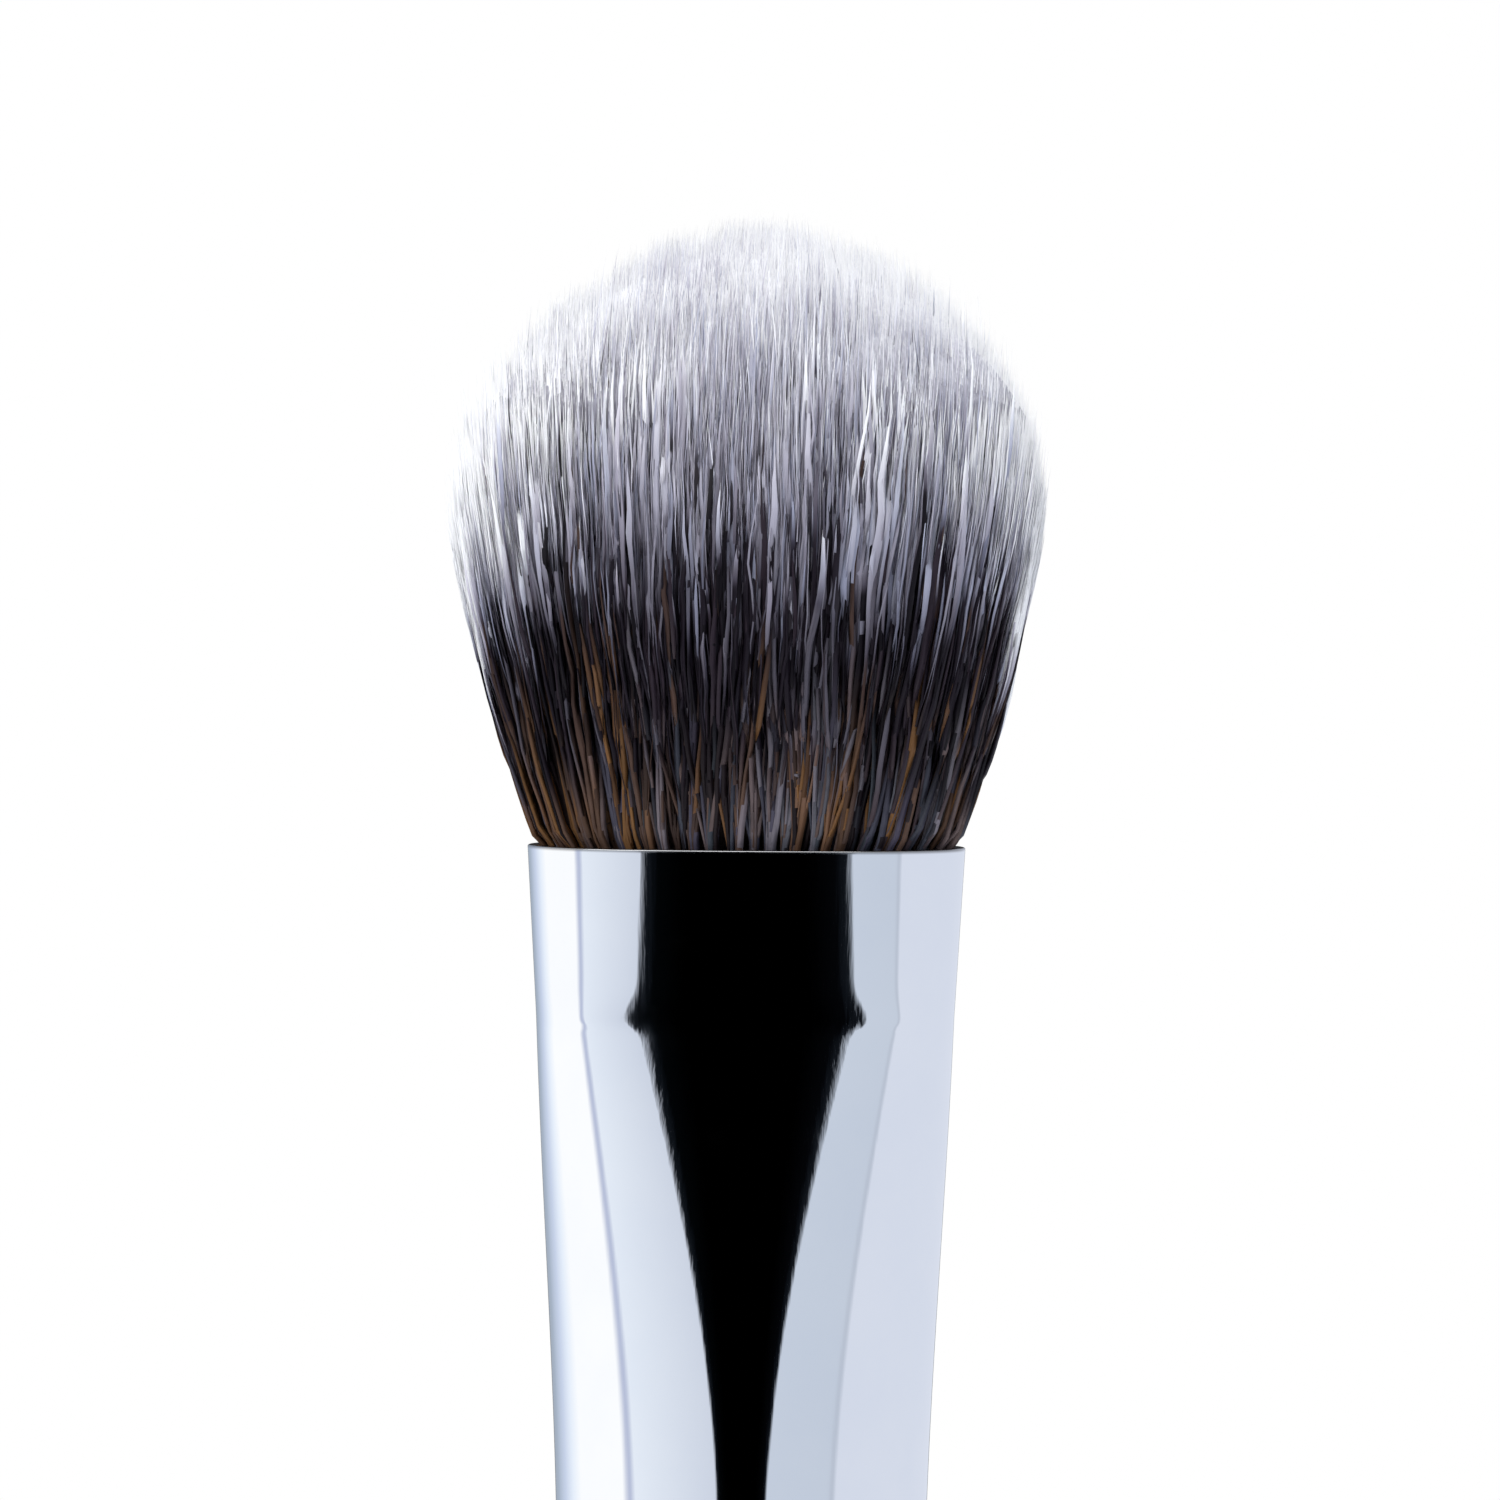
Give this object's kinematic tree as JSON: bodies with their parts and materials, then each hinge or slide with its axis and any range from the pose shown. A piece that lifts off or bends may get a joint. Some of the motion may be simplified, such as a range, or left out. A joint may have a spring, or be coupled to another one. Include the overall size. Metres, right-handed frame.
{
  "type": "flat eyeshadow brush",
  "caption": "Slim upright eyeshadow brush: flat domed bristle head with pale tips, mirror-plated ferrule flattened at its mouth, and a turned gloss black handle.",
  "frame": {"origin": "centre of the small flat on the butt of the handle", "axes": "+Z along the brush from butt to bristle tips, +X across the flat head, +Y through its thickness; the pictured face looks along -Y"},
  "size_m": [0.0108, 0.0092, 0.1631],
  "materials": {
    "lacquer": "turned wood under gloss black lacquer",
    "plate": "mirror-plated drawn metal",
    "resin": "clear amber epoxy",
    "bristle": "fine filaments, amber at the root, near black in the middle, white at the tip"
  },
  "bodies": {
    "root": {"handle": "lacquer", "handle_glue": "resin", "ferrule": "plate", "resin_plug": "resin", "bristle_row_01": "bristle", "bristle_row_02": "bristle", "bristle_row_03": "bristle", "bristle_row_04": "bristle", "bristle_row_05": "bristle", "bristle_row_06": "bristle", "bristle_row_07": "bristle", "bristle_row_08": "bristle", "bristle_row_09": "bristle", "bristle_row_10": "bristle"}
  },
  "joints": []
}
